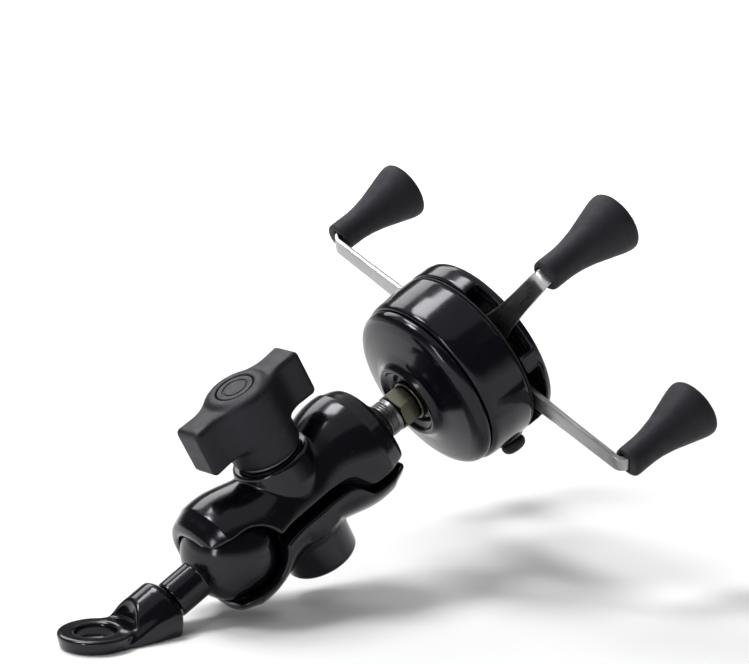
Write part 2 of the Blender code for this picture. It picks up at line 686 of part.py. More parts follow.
# ---- scissor grip -------------------------------------------------------------------------
def bar_rows(level):
    """Cross-lines of one half of a bar, pivot to tongue tip: (x, z, half width)."""
    rows = []
    eye_steps = 5
    eye_end = 7.4 * MM
    for k in range(eye_steps + 1):
        x = eye_end * k / eye_steps
        rows.append((x, level, math.sqrt(BAR_EYE_R ** 2 - x ** 2)))
    rows += [(25.0 * MM, level, 3.3 * MM), (32.0 * MM, level, 3.0 * MM),
             (38.0 * MM, level, BAR_HALF_WIDTH)]
    bend_x = GRIP_REACH - BAR_BEND_R
    rows.append((bend_x, level, 2.6 * MM))
    bend_steps = 4
    for k in range(1, bend_steps + 1):
        angle = math.pi / 2 * k / bend_steps
        rows.append((bend_x + BAR_BEND_R * math.sin(angle),
                     level + BAR_BEND_R * (1 - math.cos(angle)), TONGUE_HALF_WIDTH))
    rows.append((GRIP_REACH, level + TONGUE_TOP - 1 * MM, TONGUE_HALF_WIDTH))
    rows.append((GRIP_REACH, level + TONGUE_TOP, TONGUE_HALF_WIDTH - 0.8 * MM))
    return rows


def build_bar(name, level, heading):
    half = bar_rows(level)
    rows = [(-x, z, width) for x, z, width in reversed(half[1:])] + half
    bm = bmesh.new()
    lines = []
    for x, z, width in rows:
        lines.append((bm.verts.new((x, -width, z)), bm.verts.new((x, width, z))))
    for (a, b), (c, d) in zip(lines, lines[1:]):
        bm.faces.new((a, c, d, b))
    bar = mesh_object(name, bm)
    solid = bar.modifiers.new("thickness", "SOLIDIFY")
    solid.thickness = BAR_THICK
    solid.offset = 0.0
    solid.use_even_offset = True
    place(bar, holder_frame, rotation=(0.0, 0.0, heading))
    hole = cylinder(name + "_pivot_hole", PIN_BORE_R, 20 * MM, sides=48)
    place(hole, holder_frame, (0.0, 0.0, level))
    combine(bar, hole)
    return soften(paint(bar, STEEL))


def build_post(name, level, heading):
    """A flared rubber post, standing just in front of its bar and pushed over its tongue."""
    profile = [(0.0, 26.2), (6.2, 26.1), (7.8, 25.6), (8.3, 24.7), (8.0, 22.8), (6.6, 18.0),
               (5.3, 13.6), (4.5, 9.6), (4.2, 6.6), (4.2, 0.6), (3.8, 0.0), (0.0, 0.0)]
    post = turned(name, [(r * MM, z * MM) for r, z in profile], steps=COARSE)
    root = on_circle(GRIP_REACH, heading, level + POST_RISE)
    place(post, holder_frame, root, (0.0, 0.0, heading))
    slot_half = BAR_THICK / 2 + GAP
    slot_width = 2 * (TONGUE_HALF_WIDTH + GAP)
    bend_room = 1.1 * MM
    bend_top = 1.9 * MM
    entry = box(name + "_entry", (2 * slot_half + bend_room, slot_width, bend_top + OVERSHOOT))
    entry.data.transform(Matrix.Translation((-bend_room / 2, 0.0, (bend_top - OVERSHOOT) / 2)))
    place(entry, post)
    combine(post, entry)
    tongue_top = TONGUE_TOP - POST_RISE + GAP
    tongue = box(name + "_tongue", (2 * slot_half, slot_width, tongue_top))
    tongue.data.transform(Matrix.Translation((0.0, 0.0, tongue_top / 2)))
    place(tongue, post)
    combine(post, tongue)
    return soften(paint(post, RUBBER))


def build_grip():
    heading_a = math.pi / 2 + GRIP_ANGLE
    heading_b = math.pi / 2 - GRIP_ANGLE
    build_bar("grip_bar_a", BAR_A_LEVEL, heading_a)
    build_bar("grip_bar_b", BAR_B_LEVEL, heading_b)
    build_post("post_upper_left", BAR_A_LEVEL, heading_a)
    build_post("post_lower_right", BAR_A_LEVEL, heading_a + math.pi)
    build_post("post_lower_left", BAR_B_LEVEL, heading_b)
    build_post("post_upper_right", BAR_B_LEVEL, heading_b + math.pi)

    groove_r = 2.5 * MM
    pin = turned("pivot_pin", [
        (0.0, 30.9 * MM), (2.6 * MM, 30.9 * MM), (BOLT_R, 30.5 * MM), (BOLT_R, 30.3 * MM),
        (groove_r, 30.3 * MM), (groove_r, 29.6 * MM), (BOLT_R, 29.6 * MM), (BOLT_R, 16.7 * MM),
        (4.9 * MM, 16.7 * MM), (5.2 * MM, 16.4 * MM), (5.2 * MM, 15.2 * MM), (4.9 * MM, 14.9 * MM),
        (0.0, 14.9 * MM)], steps=COARSE)
    place(pin, holder_frame)
    soften(paint(pin, STEEL))

    build_clip()
    build_torsion_spring()
    build_screws()


def build_clip():
    """A C-shaped retaining ring in the pin's groove."""
    inner = 2.65 * MM
    outer = 4.9 * MM
    steps = 20
    gap_half = math.radians(40)
    sweep = 2 * math.pi - 2 * gap_half
    angles = [gap_half + sweep * k / steps for k in range(steps + 1)]
    clip = prism("pivot_clip", ring_sector(inner, outer, angles), 0.5 * MM)
    place(clip, holder_frame, (0.0, 0.0, 29.95 * MM))
    soften(paint(clip, SPRING_STEEL))


def build_torsion_spring():
    """A coil round the pivot boss with one leg behind each bar's edge."""
    coil_r = 6.2 * MM
    wire_r = 0.55 * MM
    leg_r = 14.0 * MM
    start_level = 20.6 * MM
    end_level = 24.9 * MM
    per_turn = 16
    bar_half_at_leg = 4.5 * MM
    clearance = bar_half_at_leg + wire_r + GAP
    offset = math.asin(clearance / leg_r)
    leg_a = math.pi / 2 + GRIP_ANGLE - offset
    leg_b = math.pi / 2 - GRIP_ANGLE + offset - 2 * math.pi
    turns = 3
    sweep = leg_a - leg_b + 2 * math.pi * (turns - 1)
    count = per_turn * turns
    points = [on_circle(leg_r, leg_b, BAR_B_LEVEL), on_circle(leg_r, leg_b, start_level)]
    for k in range(count + 1):
        angle = leg_b + sweep * k / count
        points.append(on_circle(coil_r, angle, start_level + (end_level - start_level) * k / count))
    points += [on_circle(leg_r, leg_a, end_level), on_circle(leg_r, leg_a, BAR_A_LEVEL)]
    spring = wire("grip_spring", points, wire_r, 1)
    place(spring, holder_frame)
    soften(paint(spring, SPRING_STEEL), math.radians(60))


def build_screws():
    """The four screws that close the drum."""
    profile = [(0.0, 31.0), (1.6, 30.95), (2.1, 30.7), (2.1, 30.45), (1.2, 30.45), (1.2, 22.6),
               (0.7, 22.1), (0.0, 22.1)]
    for index, angle in enumerate(SCREW_ANGLES, 1):
        screw = turned(f"cover_screw_{index}", [(r * MM, z * MM) for r, z in profile], steps=12)
        place(screw, holder_frame, on_circle(SCREW_RADIUS, angle))
        soften(paint(screw, STEEL))


build_base()
build_lower_ball_stud()
build_arm()
build_clamp_screw()
build_knob()
build_upper_ball()
build_drum()
build_port_cap()
build_grip()
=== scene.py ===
import json
import math

import bmesh
import bpy
import numpy as np
from mathutils import Matrix, Vector


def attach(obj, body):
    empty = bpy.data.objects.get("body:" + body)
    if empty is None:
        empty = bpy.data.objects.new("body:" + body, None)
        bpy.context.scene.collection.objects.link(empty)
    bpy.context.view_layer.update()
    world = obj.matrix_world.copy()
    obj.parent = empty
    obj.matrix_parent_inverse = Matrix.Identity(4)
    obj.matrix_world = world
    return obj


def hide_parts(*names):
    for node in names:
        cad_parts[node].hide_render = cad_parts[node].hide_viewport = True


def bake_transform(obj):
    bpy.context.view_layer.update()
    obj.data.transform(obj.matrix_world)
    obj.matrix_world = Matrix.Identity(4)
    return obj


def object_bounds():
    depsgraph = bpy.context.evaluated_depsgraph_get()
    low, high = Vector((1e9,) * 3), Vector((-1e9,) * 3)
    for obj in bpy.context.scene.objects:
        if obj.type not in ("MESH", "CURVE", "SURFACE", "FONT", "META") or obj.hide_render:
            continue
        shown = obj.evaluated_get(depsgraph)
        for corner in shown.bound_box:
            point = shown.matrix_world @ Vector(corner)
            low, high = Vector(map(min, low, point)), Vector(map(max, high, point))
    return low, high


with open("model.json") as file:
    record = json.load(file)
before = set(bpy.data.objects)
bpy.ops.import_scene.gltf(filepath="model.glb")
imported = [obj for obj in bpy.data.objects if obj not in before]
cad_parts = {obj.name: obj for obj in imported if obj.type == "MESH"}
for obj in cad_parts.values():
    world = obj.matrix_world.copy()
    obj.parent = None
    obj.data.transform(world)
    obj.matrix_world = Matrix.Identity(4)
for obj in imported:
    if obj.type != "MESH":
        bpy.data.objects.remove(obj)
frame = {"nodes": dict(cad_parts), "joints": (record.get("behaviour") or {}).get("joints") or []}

CAD_BOX = [list(map(float, corner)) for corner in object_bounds()]
NODES = frame["nodes"]
JOINTS = {joint["name"]: joint for joint in frame["joints"]}
MM = 0.001
SIDE = Vector((0.0, 1.0, 0.0))

# Lengths below are millimetres in each group's own frame, as in the CAD part.
BALL_R = 12.7
NECK_R = 5.1
SOCKET_R = 13.0
DOME_R = 15.6
SPINE_R = 12.9
HALF_ARM = 20.6
MOUTH = 8.2
WINDOW_R = 9.2
WINDOW_INNER = 4.0
PARTING = 1.6
TONGUE = 4.6
KNOB_TOP = 34.7
KNOB_HUB_TOP = 35.6
KNOB_BASE = 15.4
KNOB_YAW = math.radians(4.5)
KNOB_TIP = 18.2
HOLDER_SPIN = math.radians(-3.5)
EYE_THICK = 3.8
SCREW_RADIUS = 18.2
SCREW_ANGLES = [math.radians(angle) for angle in (-15, 15, 165, 195)]
PORT_ANGLE = math.radians(-19.5)
PORT_LEVEL = 20.6
BODY_R = 24.8
GRIP_REACH = 55.0
GRIP_ANGLE = math.radians(31.1)
BAR_THICK = 1.4
BAR_LEVELS = {"a": 26.5, "b": 28.2}
BAR_EYE_R = 9.0
BAR_EYE_END = 7.4
BAR_BEND_R = 2.6
BAR_END_HALF = 2.6
TONGUE_HALF = 2.4
POST_RISE = 1.4
POST_TOP = 26.2
PLUG_BORE_R = 2.9
PIN_BORE_R = 3.06
EYE_HOLE_R = 5.25
SPOT_R = 10.0
SHANK_BORE_R = 3.56

# Millimetres over which the arm's edges are rounded and its joins filleted.
SPINE_FILLET = 5.0
COLLAR_FILLET = 0.35
PARTING_EDGE = 1.1
SOCKET_EDGE = 0.7
MOUTH_EDGE = 1.4
WINDOW_EDGE = 1.1
BORE_EDGE = 0.4

RELAX_TURNS = 3
BLOCK_CELLS = 6
SLOPE_PROBE = 0.01
COARSER = 1.0


# ---- frames on the joint axes -------------------------------------------------------------
def axes(origin, direction, spin=0.0):
    """A frame with Z along a direction of the plane Y = 0, and Y along the row's Y."""
    z = Vector(direction).normalized()
    x = SIDE.cross(z)
    turn = Matrix((x, SIDE, z)).transposed().to_4x4()
    return Matrix.Translation(Vector(origin)) @ turn @ Matrix.Rotation(spin, 4, "Z")


ball_1 = Vector(JOINTS["lower_tilt"]["pos_m"])
ball_2 = Vector(JOINTS["upper_tilt"]["pos_m"])
arm_x = (ball_2 - ball_1).normalized()
neck_frame = axes(ball_1, JOINTS["neck_swivel"]["axis"])
arm_frame = axes((ball_1 + ball_2) / 2, arm_x.cross(SIDE))
bolt_frame = axes(JOINTS["knob_turn"]["pos_m"], JOINTS["knob_turn"]["axis"])
stud_frame = axes(ball_2, JOINTS["holder_spin"]["axis"])
holder_frame = axes(JOINTS["holder_spin"]["pos_m"], JOINTS["holder_spin"]["axis"], HOLDER_SPIN)
row_frame = Matrix.Identity(4)
STUD_LENGTH = (Vector(JOINTS["holder_spin"]["pos_m"]) - ball_2).length / MM


def between(source, target):
    """The rotation and offset, in millimetres, that take points of one frame to another."""
    change = target.inverted() @ source
    turn = np.array(change.to_3x3())
    return lambda points: points @ turn.T + np.array(change.translation) / MM


# ---- meshes from distance functions -------------------------------------------------------
def soft_max(a, b, width):
    """Intersection of two solids with its edge rounded off over a width."""
    share = np.maximum(width - np.abs(a - b), 0.0) / width
    return np.maximum(a, b) + share * share * width / 4


def soft_min(a, b, width):
    """Union of two solids with a fillet."""
    return -soft_max(-a, -b, width)


def ball(points, centre, radius):
    return np.linalg.norm(points - np.asarray(centre, float), axis=1) - radius


def polygon(flat, corners):
    """Signed distance of 2-D points to a closed outline, negative inside."""
    corners = np.asarray(corners, float)
    nearest = np.full(len(flat), np.inf)
    inside = np.zeros(len(flat), bool)
    for start, end in zip(corners, np.roll(corners, -1, axis=0)):
        edge = end - start
        reach = flat - start
        along = np.clip(reach @ edge / (edge @ edge), 0.0, 1.0)
        nearest = np.minimum(nearest, ((reach - along[:, None] * edge) ** 2).sum(1))
        if edge[1] != 0.0:
            spans = (start[1] > flat[:, 1]) != (end[1] > flat[:, 1])
            crossing = start[0] + reach[:, 1] * edge[0] / edge[1]
            inside ^= spans & (flat[:, 0] < crossing)
    distance = np.sqrt(nearest)
    return np.where(inside, -distance, distance)


def eased(points, reach, closed=True, steps=4):
    """An outline with each corner replaced by a curve that starts at most reach away."""
    points = [Vector(p) for p in points]
    out = []
    count = len(points)
    for index, corner in enumerate(points):
        if not closed and index in (0, count - 1):
            out.append(corner)
            continue
        back = points[index - 1] - corner
        ahead = points[(index + 1) % count] - corner
        start = corner + back * min(reach / back.length, 0.48)
        end = corner + ahead * min(reach / ahead.length, 0.48)
        for step in range(steps + 1):
            t = step / steps
            out.append(start * (1 - t) ** 2 + corner * 2 * t * (1 - t) + end * t * t)
    return out


def revolved(points, profile, closed=False, reach=0.4):
    """Distance to a solid turned about Z; the profile holds (radius, height) pairs."""
    outline = [Vector(p) for p in profile]
    if not closed:
        outline = [Vector((-20.0, p[1])) if p[0] == 0.0 else p for p in outline]
    outline = eased(outline, reach, steps=3)
    flat = np.stack([np.hypot(points[:, 0], points[:, 1]), points[:, 2]], 1)
    return polygon(flat, outline)


def slab(values, low, high):
    return np.abs(values - (low + high) / 2) - (high - low) / 2


def cells_of(field):
    """True for each cell of a grid whose eight corners don't all have the same sign."""
    inside = field < 0
    total = np.zeros([n - 1 for n in field.shape], np.int8)
    for i in (0, 1):
        for j in (0, 1):
            for k in (0, 1):
                total += inside[i:i - 1 or None, j:j - 1 or None, k:k - 1 or None]
    return (total > 0) & (total < 8)


def sample(shape, low, high, step):
    """Values of a distance function on a grid, worked out only near the surface."""
    block = BLOCK_CELLS
    margin = 2.5 * step
    low = np.asarray(low, float) - margin
    blocks = np.ceil((np.asarray(high, float) + margin - low) / (block * step)).astype(int)
    index = np.stack(np.meshgrid(*[np.arange(n) for n in blocks], indexing="ij"), -1)
    index = index.reshape(-1, 3)
    middles = low + (index * block + (block - 1) / 2) * step
    values = shape(middles)
    radius = block * step * math.sqrt(3) / 2 * 1.25 + step
    field = np.repeat(np.repeat(np.repeat(
        values.reshape(blocks), block, 0), block, 1), block, 2)
    inner = np.stack(np.meshgrid(*[np.arange(block)] * 3, indexing="ij"), -1).reshape(-1, 3)
    near = index[np.abs(values) < radius]
    places = (near[:, None, :] * block + inner[None]).reshape(-1, 3)
    field[places[:, 0], places[:, 1], places[:, 2]] = shape(low + places * step)
    return field, low


def surface(shape, low, high, step):
    """Vertices and quads of a distance function's zero surface."""
    field, origin = sample(shape, low, high, step)
    active = cells_of(field)
    number = np.full(active.shape, -1, int)
    cells = np.argwhere(active)
    number[active] = np.arange(len(cells))
    total = np.zeros((len(cells), 3))
    count = np.zeros(len(cells))
    corners = [(i, j, k) for i in (0, 1) for j in (0, 1) for k in (0, 1)]
    for a in corners:
        for axis in range(3):
            if a[axis]:
                continue
            b = list(a)
            b[axis] = 1
            at_a = field[tuple((cells + a).T)]
            at_b = field[tuple((cells + b).T)]
            crosses = (at_a < 0) != (at_b < 0)
            gap = np.where(crosses, at_a - at_b, 1.0)
            place = np.tile(np.asarray(a, float), (len(cells), 1))
            place[:, axis] += np.where(crosses, at_a / gap, 0.0)
            total[crosses] += place[crosses]
            count[crosses] += 1
    verts = origin + (cells + total / count[:, None]) * step
    quads = []
    inside = field < 0
    for axis in range(3):
        first = np.moveaxis(inside, axis, 0)
        ids = np.moveaxis(number, axis, 0)
        changes = np.argwhere(first[:-1, 1:-1, 1:-1] != first[1:, 1:-1, 1:-1])
        i, j, k = changes[:, 0], changes[:, 1] + 1, changes[:, 2] + 1
        ring = np.stack([ids[i, j - 1, k - 1], ids[i, j, k - 1], ids[i, j, k],
                         ids[i, j - 1, k]], 1)
        outward = first[i, j, k] ^ (axis == 1)
        quads.append(np.where(outward[:, None], ring, ring[:, ::-1]))
    quads = np.concatenate(quads)
    edges = np.concatenate([quads[:, [0, 1]], quads[:, [1, 2]], quads[:, [2, 3]],
                            quads[:, [3, 0]]])
    for turn in range(RELAX_TURNS + 1):
        sums = np.zeros_like(verts)
        degree = np.bincount(edges[:, 0], minlength=len(verts)).astype(float)
        for axis in range(3):
            sums[:, axis] = np.bincount(edges[:, 0], verts[edges[:, 1], axis], len(verts))
        if turn < RELAX_TURNS:
            verts = verts + 0.5 * (sums / degree[:, None] - verts)
        verts = settle(shape, verts, step)
    return verts, quads


def settle(shape, verts, step):
    """Vertices moved onto the zero surface along the slope of the distance."""
    here = shape(verts)
    slope = np.zeros_like(verts)
    for axis in range(3):
        shift = np.zeros(3)
        shift[axis] = SLOPE_PROBE
        slope[:, axis] = (shape(verts + shift) - here) / SLOPE_PROBE
    size = np.maximum((slope ** 2).sum(1), 0.25)
    move = -(here / size)[:, None] * slope
    length = np.linalg.norm(move, axis=1, keepdims=True)
    return verts + move * np.minimum(1.0, step / np.maximum(length, 1e-9))


def carved(name, place, shape, low, high, step=0.4):
    """A piece meshed from a distance function in a frame's millimetres."""
    verts, quads = surface(shape, low, high, step * COARSER)
    mesh = bpy.data.meshes.new(name)
    mesh.from_pydata((verts * MM).tolist(), [], quads.tolist())
    return finished(name, mesh, place)


def finished(name, mesh, place):
    bm = bmesh.new()
    bm.from_mesh(mesh)
    bmesh.ops.recalc_face_normals(bm, faces=bm.faces)
    bm.to_mesh(mesh)
    bm.free()
    mesh.transform(place)
    mesh.shade_smooth()
    obj = bpy.data.objects.new(name, mesh)
    bpy.context.scene.collection.objects.link(obj)
    return obj


def turned(name, place, profile, closed=False, reach=0.3, sides=144):
    """A solid of revolution with eased corners; the profile holds (radius, height) pairs."""
    outline = eased(profile, reach, closed)
    bm = bmesh.new()
    rings = []
    for radius, height in outline:
        if radius < 1e-6:
            rings.append([bm.verts.new((0.0, 0.0, height * MM))])
            continue
        rings.append([bm.verts.new((radius * MM * math.cos(angle), radius * MM * math.sin(angle),
                                    height * MM))
                      for angle in (2 * math.pi * k / sides for k in range(sides))])
    pairs = list(zip(rings, rings[1:]))
    if closed:
        pairs.append((rings[-1], rings[0]))
    for lower, upper in pairs:
        for k in range(sides):
            after = (k + 1) % sides
            if len(lower) == 1:
                bm.faces.new((lower[0], upper[k], upper[after]))
            elif len(upper) == 1:
                bm.faces.new((lower[k], upper[0], lower[after]))
            else:
                bm.faces.new((lower[k], upper[k], upper[after], lower[after]))
    mesh = bpy.data.meshes.new(name)
    bm.to_mesh(mesh)
    bm.free()
    return finished(name, mesh, place)


def arc(radius, start, end, count):
    """Points of an arc about the origin, in degrees from the first axis."""
    angles = [math.radians(start + (end - start) * k / count) for k in range(count + 1)]
    return [(radius * math.cos(angle), radius * math.sin(angle)) for angle in angles]


def stand_for(obj, body, slot, material, *nodes):
    """Puts a finished piece on its body, in place of CAD nodes."""
    obj.data.materials.clear()
    obj.data.materials.append(material)
    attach(obj, body)
    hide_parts(*nodes)
    return obj


# ---- materials ----------------------------------------------------------------------------
# The gloss of the black finishes leans slightly to violet.
BLACK_TINT = (0.93, 0.90, 1.0, 1.0)


class Graph:
    """A short way to wire a material's nodes."""

    def __init__(self, name, **sockets):
        self.material = bpy.data.materials.new(name)
        self.material.use_nodes = True
        self.tree = self.material.node_tree
        self.shader = self.tree.nodes["Principled BSDF"]
        for socket, value in sockets.items():
            self.shader.inputs[socket.replace("_", " ")].default_value = value
        self.place = self.tree.nodes.new("ShaderNodeTexCoord").outputs["Object"]

    def link(self, source, target):
        self.tree.links.new(source, target)
        return self

    def stretched(self, place, scale):
        """Coordinates of a frame, drawn out along its axes by the scale."""
        mapping = self.tree.nodes.new("ShaderNodeMapping")
        mapping.vector_type = "TEXTURE"
        mapping.inputs["Location"].default_value = place.translation
        mapping.inputs["Rotation"].default_value = place.to_euler()
        mapping.inputs["Scale"].default_value = scale
        self.link(self.place, mapping.inputs["Vector"])
        return mapping.outputs["Vector"]

    def noise(self, size, detail=4.0, rough=0.55, source=None):
        """Noise whose blotches are about size millimetres across."""
        node = self.tree.nodes.new("ShaderNodeTexNoise")
        node.inputs["Scale"].default_value = 1.0 / (size * MM)
        node.inputs["Detail"].default_value = detail
        node.inputs["Roughness"].default_value = rough
        self.link(source or self.place, node.inputs["Vector"])
        return node.outputs["Fac"]

    def cells(self, size):
        node = self.tree.nodes.new("ShaderNodeTexVoronoi")
        node.inputs["Scale"].default_value = 1.0 / (size * MM)
        self.link(self.place, node.inputs["Vector"])
        return node.outputs["Distance"]

    def ramp(self, source, low, high, from_value, to_value):
        node = self.tree.nodes.new("ShaderNodeMapRange")
        node.inputs["From Min"].default_value = low
        node.inputs["From Max"].default_value = high
        node.inputs["To Min"].default_value = from_value
        node.inputs["To Max"].default_value = to_value
        self.link(source, node.inputs["Value"])
        return node.outputs["Result"]

    def math(self, operation, first, second):
        node = self.tree.nodes.new("ShaderNodeMath")
        node.operation = operation
        for socket, value in zip(node.inputs, (first, second)):
            if isinstance(value, float):
                socket.default_value = value
            else:
                self.link(value, socket)
        return node.outputs["Value"]

    def worn_edges(self, low=0.53, high=0.62):
        """Near 1 on outer edges, broken up by noise."""
        geometry = self.tree.nodes.new("ShaderNodeNewGeometry")
        edge = self.ramp(geometry.outputs["Pointiness"], low, high, 0.0, 1.0)
        patch = self.ramp(self.noise(1.6, 6.0, 0.7), 0.42, 0.62, 0.0, 1.0)
        return self.math("MULTIPLY", edge, patch)

    def colour(self, factor, first, second):
        node = self.tree.nodes.new("ShaderNodeMix")
        node.data_type = "RGBA"
        node.inputs["A"].default_value = (*first, 1.0)
        node.inputs["B"].default_value = (*second, 1.0)
        self.link(factor, node.inputs["Factor"])
        self.link(node.outputs["Result"], self.shader.inputs["Base Color"])
        return self

    def bump(self, height, depth, strength=1.0, under=None):
        """Surface relief of depth millimetres."""
        node = self.tree.nodes.new("ShaderNodeBump")
        node.inputs["Distance"].default_value = depth * MM
        node.inputs["Strength"].default_value = strength
        self.link(height, node.inputs["Height"])
        if under:
            self.link(under, node.inputs["Normal"])
        self.link(node.outputs["Normal"], self.shader.inputs["Normal"])
        return node.outputs["Normal"]


def coated_metal():
    """Gloss black powder coat over cast metal: faint orange peel and worn edges."""
    graph = Graph("coated_black_finish", Specular_IOR_Level=0.38, Coat_Weight=0.04,
                  Coat_Roughness=0.10, Specular_Tint=BLACK_TINT)
    graph.colour(graph.worn_edges(), (0.0028, 0.0026, 0.0042), (0.016, 0.015, 0.018))
    mottled = graph.ramp(graph.noise(7.0, 5.0, 0.6), 0.3, 0.7, 0.12, 0.19)
    graph.link(mottled, graph.shader.inputs["Roughness"])
    peel = graph.bump(graph.noise(1.5, 2.0, 0.4), 0.012, 0.6)
    graph.bump(graph.noise(0.35, 2.0, 0.5), 0.002, 0.5, peel)
    return graph.material


def drum_plastic():
    """Moulded gloss black plastic with fine dust in its gloss."""
    graph = Graph("drum_black_finish", Specular_IOR_Level=0.32, Coat_Weight=0.03,
                  Coat_Roughness=0.06, Specular_Tint=BLACK_TINT)
    graph.colour(graph.noise(9.0, 3.0), (0.0022, 0.0022, 0.0042), (0.0045, 0.0044, 0.0068))
    mottled = graph.ramp(graph.noise(5.0, 6.0, 0.65), 0.3, 0.7, 0.10, 0.18)
    graph.link(mottled, graph.shader.inputs["Roughness"])
    graph.bump(graph.noise(2.2, 2.0, 0.4), 0.008, 0.5)
    return graph.material


def satin_plastic():
    """Glass-filled satin black plastic with a fine spark-eroded grain."""
    graph = Graph("knob_black_finish", Specular_IOR_Level=0.30, Specular_Tint=BLACK_TINT)
    graph.colour(graph.worn_edges(0.54, 0.64), (0.0065, 0.0062, 0.0085), (0.026, 0.025, 0.029))
    mottled = graph.ramp(graph.noise(3.0, 6.0, 0.7), 0.3, 0.7, 0.40, 0.56)
    graph.link(mottled, graph.shader.inputs["Roughness"])
    grain = graph.bump(graph.noise(0.28, 3.0, 0.6), 0.018, 0.55)
    graph.bump(graph.noise(4.0, 2.0, 0.4), 0.02, 0.3, grain)
    return graph.material


def rubber():
    """Matte black moulded rubber with a soft grey bloom."""
    graph = Graph("post_rubber_finish", Specular_Tint=BLACK_TINT, Specular_IOR_Level=0.28,
                  Sheen_Weight=0.05, Sheen_Roughness=0.4)
    graph.colour(graph.noise(6.0, 6.0, 0.65), (0.0060, 0.0056, 0.0080), (0.012, 0.0115, 0.0145))
    mottled = graph.ramp(graph.noise(2.4, 6.0, 0.7), 0.3, 0.7, 0.52, 0.70)
    graph.link(mottled, graph.shader.inputs["Roughness"])
    grain = graph.bump(graph.noise(0.22, 3.0, 0.6), 0.02, 0.6)
    graph.bump(graph.cells(0.9), 0.006, 0.4, grain)
    return graph.material


def brushed(name, dark, light, place, grain, rough=(0.24, 0.38)):
    """Brushed metal with its grain along the axis of a frame that the scale draws out."""
    graph = Graph(name, Metallic=1.0, Anisotropic=0.35)
    lines = graph.noise(0.35, 5.0, 0.6, graph.stretched(place, grain))
    graph.colour(lines, dark, light)
    smear = graph.noise(6.0, 5.0, 0.6)
    mixed = graph.math("ADD", graph.ramp(lines, 0.25, 0.75, rough[0], rough[1]),
                       graph.ramp(smear, 0.3, 0.7, -0.04, 0.05))
    graph.link(mixed, graph.shader.inputs["Roughness"])
    scratches = graph.bump(lines, 0.003, 0.4)
    graph.bump(graph.noise(3.5, 2.0), 0.003, 0.25, scratches)
    return graph.material


COAT = coated_metal()
DRUM = drum_plastic()
SATIN = satin_plastic()
RUBBER = rubber()
ALONG = (30.0, 1.0, 1.0)
RINGS = (4.0, 4.0, 0.7)
heading_a = math.pi / 2 + GRIP_ANGLE
heading_b = math.pi / 2 - GRIP_ANGLE
bar_frames = {"a": holder_frame @ Matrix.Rotation(heading_a, 4, "Z"),
              "b": holder_frame @ Matrix.Rotation(heading_b, 4, "Z")}
BARS = {letter: brushed(f"stainless_bar_{letter}_finish", (0.27, 0.27, 0.27),
                        (0.46, 0.455, 0.45), place, ALONG)
        for letter, place in bar_frames.items()}
STEEL = brushed("stainless_finish", (0.11, 0.11, 0.112), (0.26, 0.255, 0.25), stud_frame, RINGS)
NUT = brushed("nut_metal_finish", (0.055, 0.053, 0.040), (0.135, 0.13, 0.098), stud_frame, RINGS)
SPRING = brushed("spring_steel_finish", (0.24, 0.24, 0.25), (0.42, 0.42, 0.43), bolt_frame,
                 RINGS)
BRASS = brushed("insert_brass_finish", (0.50, 0.35, 0.14), (0.72, 0.53, 0.24), bolt_frame,
                RINGS)


# ---- eyelet base --------------------------------------------------------------------------
def base_shape(points):
    eye = revolved(points, [(0.0, EYE_THICK), (8.9, EYE_THICK), (9.5, 3.5), (9.7, 2.9),
                            (8.8, -1.0), (0.0, -1.0)])
    block = polygon(points[:, :2], [(0.0, -8.4), (6.0, -8.4), (20.8, -7.2), (20.8, 7.2),
                                    (6.0, 8.4), (0.0, 8.4)])
    block = soft_max(block, slab(points[:, 2], -1.0, 5.6), 1.6)
    ramp_slope, ramp_start, ramp_length = 0.45, 10.5, 1.1
    ramp = ramp_slope * (points[:, 0] - ramp_start)
    block = soft_max(block, (points[:, 2] - EYE_THICK - ramp) / ramp_length, 1.0)
    shape = soft_min(eye, block, 1.0)
    neck_points = between(row_frame, neck_frame)(points)
    boss = revolved(neck_points, [(0.0, -20.6), (NECK_R + 0.4, -20.6), (7.5, -22.2),
                                  (7.8, -23.0), (7.8, -36.0), (0.0, -36.0)], reach=1.2)
    shape = soft_min(shape, boss, 2.2)
    shape = soft_max(shape, -points[:, 2], 0.5)
    beyond = np.maximum(20.75 - points[:, 0], points[:, 2] - 6.4)
    shape = soft_max(shape, -beyond, 0.8)
    spread = np.hypot(points[:, 0], points[:, 1])
    spot = soft_max(spread - SPOT_R, EYE_THICK - points[:, 2], 0.8)
    shape = soft_max(shape, -spot, 0.9)
    shape = soft_max(shape, EYE_HOLE_R - spread, 1.1)
    shank = np.maximum(np.hypot(neck_points[:, 0], neck_points[:, 1]) - SHANK_BORE_R,
                       slab(neck_points[:, 2], -25.8, -15.8))
    return np.maximum(shape, -shank)


base = carved("base_eyelet_looks", row_frame, base_shape, (-10.0, -9.0, 0.0),
              (25.5, 9.0, 15.0), 0.32)
stand_for(base, "base", "coated_black", COAT, "base_eyelet")

neck_start = -math.sqrt(BALL_R ** 2 - NECK_R ** 2)
stud_profile = arc(BALL_R, 90.0, math.degrees(math.atan2(neck_start, NECK_R)), 56)
stud_profile[0] = (0.0, BALL_R)
stud_profile += [(NECK_R, -20.0), (NECK_R - 0.3, -20.3), (3.5, -20.3), (3.5, -25.1),
                 (3.1, -25.5), (0.0, -25.5)]
stud = turned("lower_ball_stud_looks", neck_frame, stud_profile, reach=0.5)
stand_for(stud, "lower_stud", "coated_black", COAT, "lower_ball_stud")


